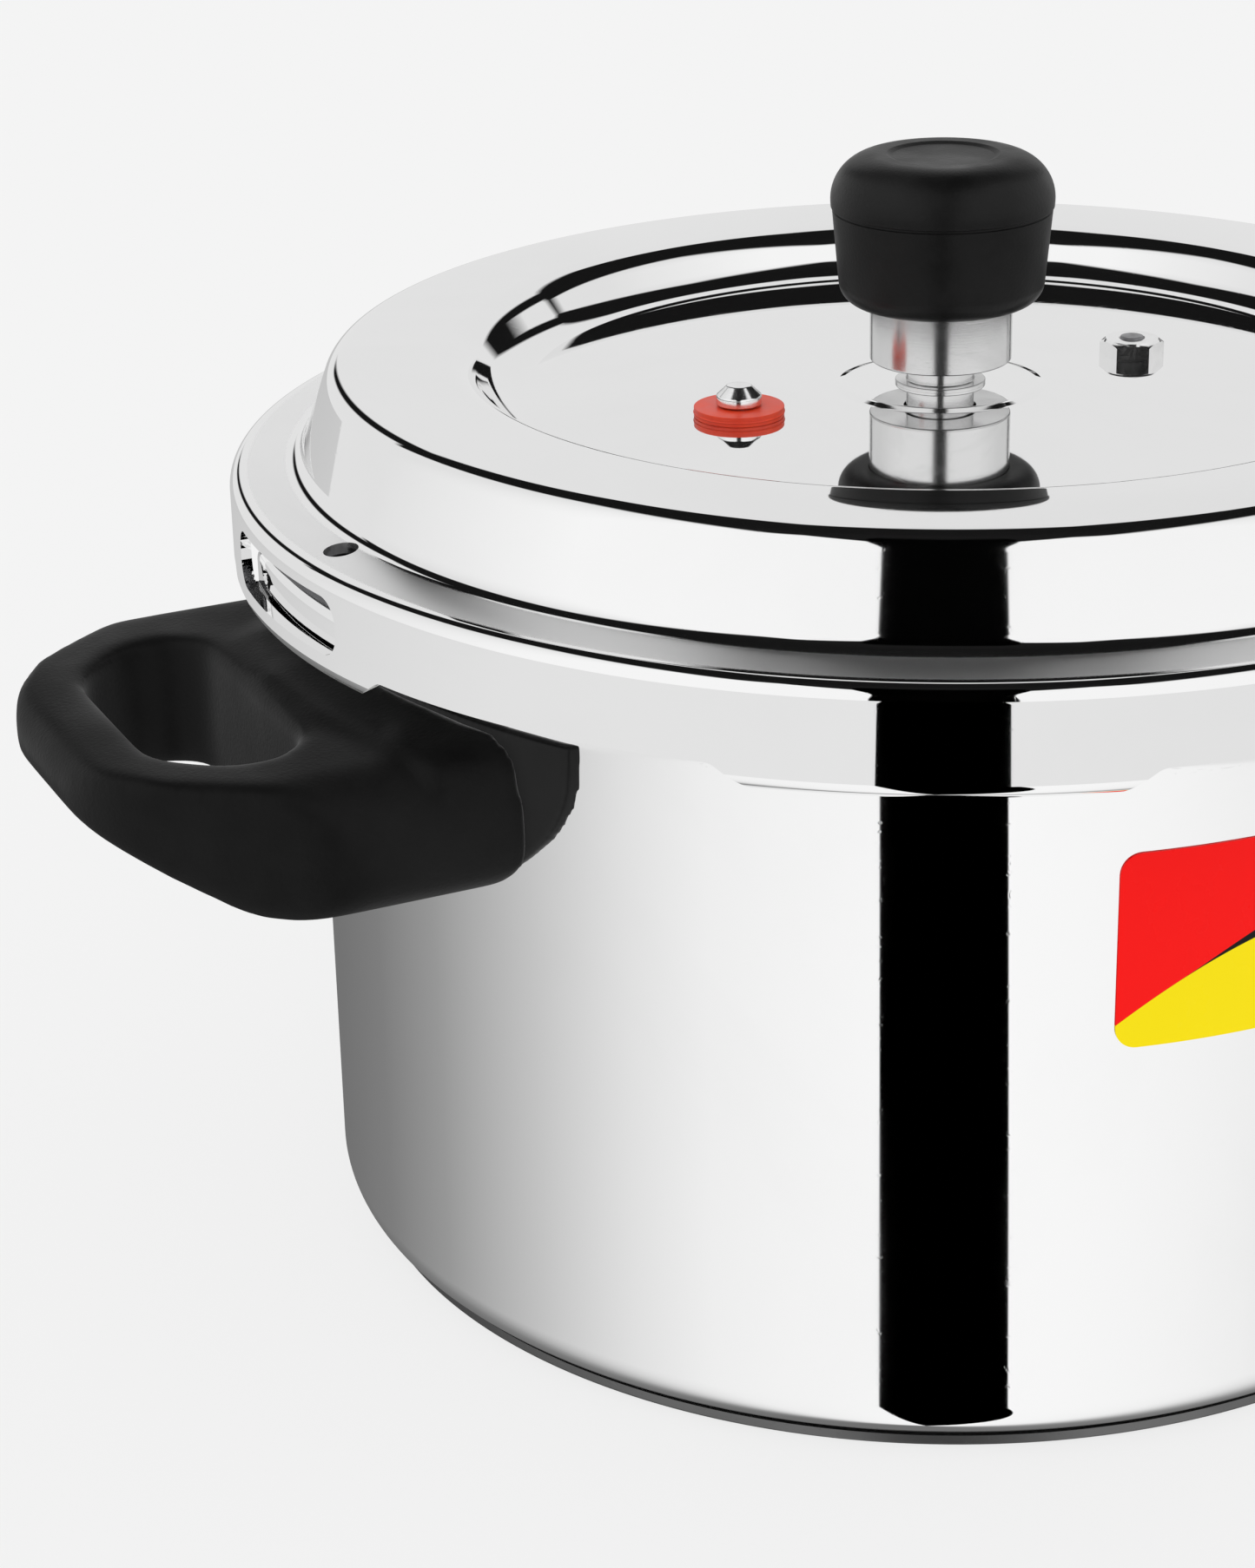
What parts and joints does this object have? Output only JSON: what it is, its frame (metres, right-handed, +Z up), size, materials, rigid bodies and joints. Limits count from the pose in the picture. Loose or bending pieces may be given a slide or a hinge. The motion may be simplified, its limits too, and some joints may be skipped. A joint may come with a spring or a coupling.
{
  "type": "stovetop pressure cooker",
  "caption": "Straight-sided steel cooking pot with a stepped bayonet lid, vent weight, pressure indicator, long grips and a looped helper handle.",
  "frame": {"origin": "centre of the underside of the base", "axes": "+Z up along the pot's axis; +X along the long handles; the label faces -Y and the helper handle points along -X"},
  "size_m": [0.46, 0.2464, 0.1879],
  "materials": {
    "mirror_steel": "mirror-polished stainless steel",
    "satin_steel": "fine turned or brushed",
    "core_aluminium": "plain",
    "pin_aluminium": "bright turned",
    "fusible_alloy": "dull grey cast",
    "black_phenolic": "fine grained moulded phenolic",
    "black_plate": "satin black",
    "gasket_rubber": "matte",
    "red_silicone": "satin moulded",
    "label_print": "printed film, two flat colours"
  },
  "bodies": {
    "pot": {"pot_body": "mirror_steel", "pot_rim": "mirror_steel", "base_core": "core_aluminium", "base_cap": "mirror_steel", "front_label": "label_print", "helper_bracket": "satin_steel", "helper_back_plate": "black_plate", "helper_handle": "black_phenolic", "helper_screw": "satin_steel", "main_bracket": "satin_steel", "main_back_plate": "black_plate", "main_handle_root": "black_phenolic", "main_handle": "black_phenolic", "main_screws": "satin_steel"},
    "lid": {"lid_shell": "mirror_steel", "gasket": "gasket_rubber", "vent_tube": "satin_steel", "vent_washer": "gasket_rubber", "vent_nut": "satin_steel", "safety_plug": "satin_steel", "safety_plug_core": "fusible_alloy", "safety_plug_washer": "core_aluminium", "safety_plug_nut": "satin_steel", "indicator_seal": "red_silicone", "lid_bracket": "satin_steel", "lid_handle": "black_phenolic", "lid_screws": "satin_steel"},
    "weight": {"weight_body": "satin_steel", "weight_needle": "satin_steel", "weight_cap": "black_phenolic"},
    "indicator": {"indicator_pin": "pin_aluminium", "indicator_clip": "pin_aluminium"}
  },
  "joints": [
    {"name": "lid_turn", "type": "hinge", "parent": "pot", "child": "lid", "pos_m": [0, 0, 0.131], "axis": [0, 0, 1], "range_deg": [0, 30]},
    {"name": "weight_lift", "type": "slide", "parent": "lid", "child": "weight", "axis": [0, 0, 1], "range_m": [0, 0.02]},
    {"name": "indicator_rise", "type": "slide", "parent": "lid", "child": "indicator", "axis": [0, 0, 1], "range_m": [0, 0.0035]}
  ]
}
